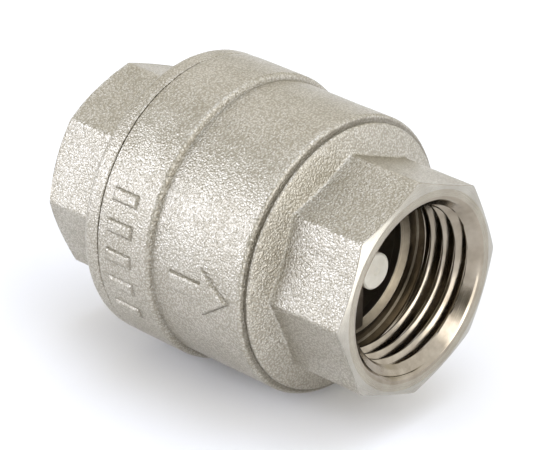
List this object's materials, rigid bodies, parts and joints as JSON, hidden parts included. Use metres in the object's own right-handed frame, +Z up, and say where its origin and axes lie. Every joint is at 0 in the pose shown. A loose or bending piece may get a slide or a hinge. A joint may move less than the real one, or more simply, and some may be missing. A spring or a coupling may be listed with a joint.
{
  "type": "in-line spring check valve",
  "caption": "Straight in-line check valve with female pipe threads, octagonal wrench ends and a spring-loaded poppet.",
  "frame": {"origin": "on the pipe axis, half way between the two end faces", "axes": "+X along the pipe axis towards the outlet, +Z up through a corner of both wrench octagons"},
  "size_m": [0.047, 0.036, 0.0354],
  "materials": {
    "nickel_plated_brass": "satin nickel plating, shot-blasted on cast faces and bright on machined faces",
    "white_acetal": "smooth moulded",
    "black_nitrile": "matt moulded",
    "stainless_steel": "drawn or turned"
  },
  "bodies": {
    "housing": {"outlet_body": "nickel_plated_brass", "inlet_connector": "nickel_plated_brass", "joint_o_ring": "black_nitrile", "return_spring": "stainless_steel"},
    "poppet": {"poppet": "white_acetal", "poppet_seal": "black_nitrile", "seal_retainer": "stainless_steel", "retainer_screw": "stainless_steel"}
  },
  "joints": [
    {"name": "poppet_lift", "type": "slide", "parent": "housing", "child": "poppet", "axis": [1, 0, 0], "range_m": [0, 0.005], "stiffness_N_per_m": 120, "springref_m": -0.004, "deforming": ["return_spring"]}
  ]
}
